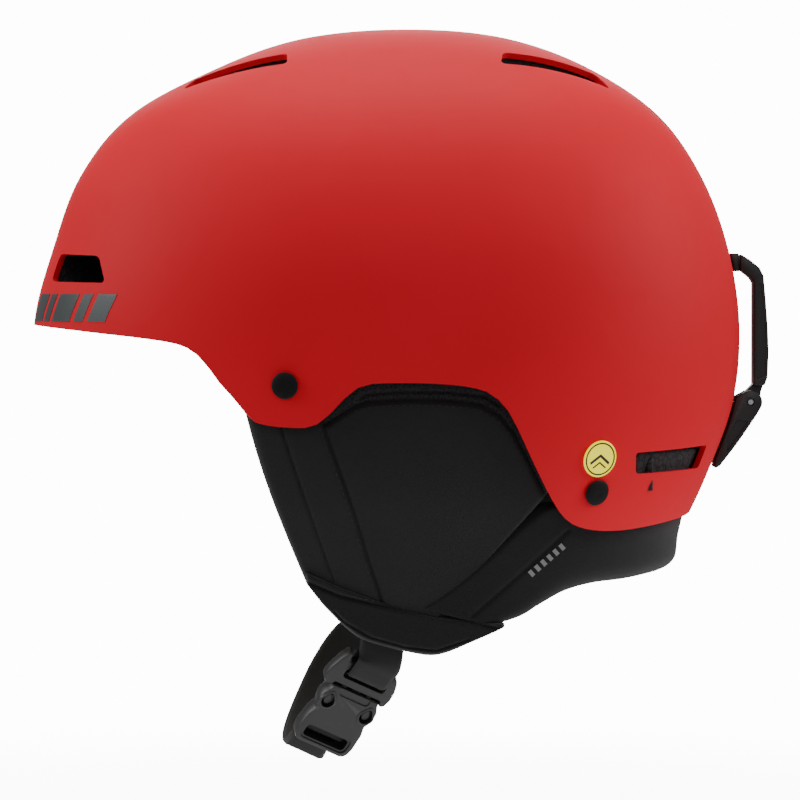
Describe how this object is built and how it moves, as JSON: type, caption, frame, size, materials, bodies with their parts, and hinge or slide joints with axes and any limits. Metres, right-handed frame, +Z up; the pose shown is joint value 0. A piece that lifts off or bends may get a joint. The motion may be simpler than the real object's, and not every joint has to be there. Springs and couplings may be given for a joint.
{
  "type": "ski helmet",
  "caption": "Ski helmet: in-mould style shell over foam and slip liner, soft ear pads and neck roll, rear goggle retainer, and a chin strap with a side-release buckle.",
  "frame": {"origin": "where the crown of the head meets the crown pad, on the centre plane", "axes": "+Z up, -Y the front of the head, +X the wearer's left"},
  "size_m": [0.2164, 0.2838, 0.2806],
  "materials": {
    "shell": "matt red moulded shell",
    "foam": "black expanded bead foam",
    "slip": "thin smooth yellow sheet",
    "elastomer": "soft black elastomer",
    "plastic": "black moulded plastic",
    "buckle": "dark grey moulded acetal with worn edges",
    "fabric": "black brushed knit over foam padding",
    "webbing": "black woven webbing",
    "badge": "yellow printed disc",
    "steel": "plain pin"
  },
  "bodies": {
    "helmet": {"badge_left": "badge", "ear_lining_left": "fabric", "ear_lining_right": "fabric", "ear_pad_left": "fabric", "ear_pad_right": "fabric", "foam_liner": "foam", "goggle_clip_base": "plastic", "goggle_clip_catch": "plastic", "goggle_clip_pin": "steel", "neck_roll": "fabric", "outer_shell": "shell", "shell_rivet_front_left": "plastic", "shell_rivet_front_right": "plastic", "shell_rivet_rear_left": "plastic", "shell_rivet_rear_right": "plastic", "strap_anchor_front_left": "plastic", "strap_anchor_front_right": "plastic", "strap_anchor_rear_left": "plastic", "strap_anchor_rear_right": "plastic", "strap_pocket_left": "fabric", "strap_pocket_right": "fabric", "strap_yoke_front_left": "webbing", "strap_yoke_front_right": "webbing", "strap_yoke_rear_left": "webbing", "strap_yoke_rear_right": "webbing", "tether_front_left": "elastomer", "tether_front_right": "elastomer", "tether_rear_left": "elastomer", "tether_rear_right": "elastomer"},
    "slip_layer": {"slip_liner": "slip", "brow_pad": "fabric", "crown_pad": "fabric", "side_pad_left": "fabric", "side_pad_right": "fabric", "rear_pad": "fabric", "fit_band_left": "elastomer", "fit_band_right": "elastomer"},
    "cradle": {"fit_cradle": "plastic", "cradle_pad": "fabric"},
    "clip_arm": {"goggle_clip_arm": "plastic"},
    "strap_upper": {"chin_strap_left": "webbing", "buckle_male": "buckle"},
    "strap_lower": {"buckle_female": "buckle", "chin_strap_right": "webbing", "chin_strap_tail": "webbing"},
    "prong_front": {"buckle_prong_front": "buckle"},
    "prong_rear": {"buckle_prong_rear": "buckle"}
  },
  "joints": [
    {"name": "slip_turn", "type": "hinge", "parent": "helmet", "child": "slip_layer", "pos_m": [0, 0.008, 0], "axis": [0, 0, 1], "range_deg": [-3, 3], "stiffness_Nm_per_rad": 8},
    {"name": "cradle_slide", "type": "slide", "parent": "slip_layer", "child": "cradle", "axis": [0, 1, 0], "range_m": [0, 0.007], "stiffness_N_per_m": 600, "deforming": ["fit_band_left", "fit_band_right"]},
    {"name": "clip_arm_lift", "type": "hinge", "parent": "helmet", "child": "clip_arm", "pos_m": [0, 0.1408, -0.108], "axis": [-1, 0, 0], "range_deg": [0, 20], "stiffness_Nm_per_rad": 0.05},
    {"name": "strap_swing", "type": "hinge", "parent": "helmet", "child": "strap_upper", "pos_m": [0, -0.001, -0.195], "axis": [-1, 0, 0], "range_deg": [-12, 30]},
    {"name": "buckle_release", "type": "slide", "parent": "strap_upper", "child": "strap_lower", "axis": [-0.3923, -0.5274, -0.7536], "range_m": [0, 0.028], "deforming": ["chin_strap_right", "buckle_prong_front", "buckle_prong_rear"]},
    {"name": "prong_front_flex", "type": "hinge", "parent": "strap_upper", "child": "prong_front", "pos_m": [0.06557, -0.01486, -0.21212], "axis": [0.8478, 0.1105, -0.5187], "range_deg": [0, 10], "stiffness_Nm_per_rad": 0.5},
    {"name": "prong_rear_flex", "type": "hinge", "parent": "strap_upper", "child": "prong_rear", "pos_m": [0.06186, -0.00609, -0.21632], "axis": [-0.8478, -0.1105, 0.5187], "range_deg": [0, 10], "stiffness_Nm_per_rad": 0.01}
  ],
  "couplings": [
    {"joint": "prong_rear_flex", "follows": "prong_front_flex", "ratio": 1}
  ]
}
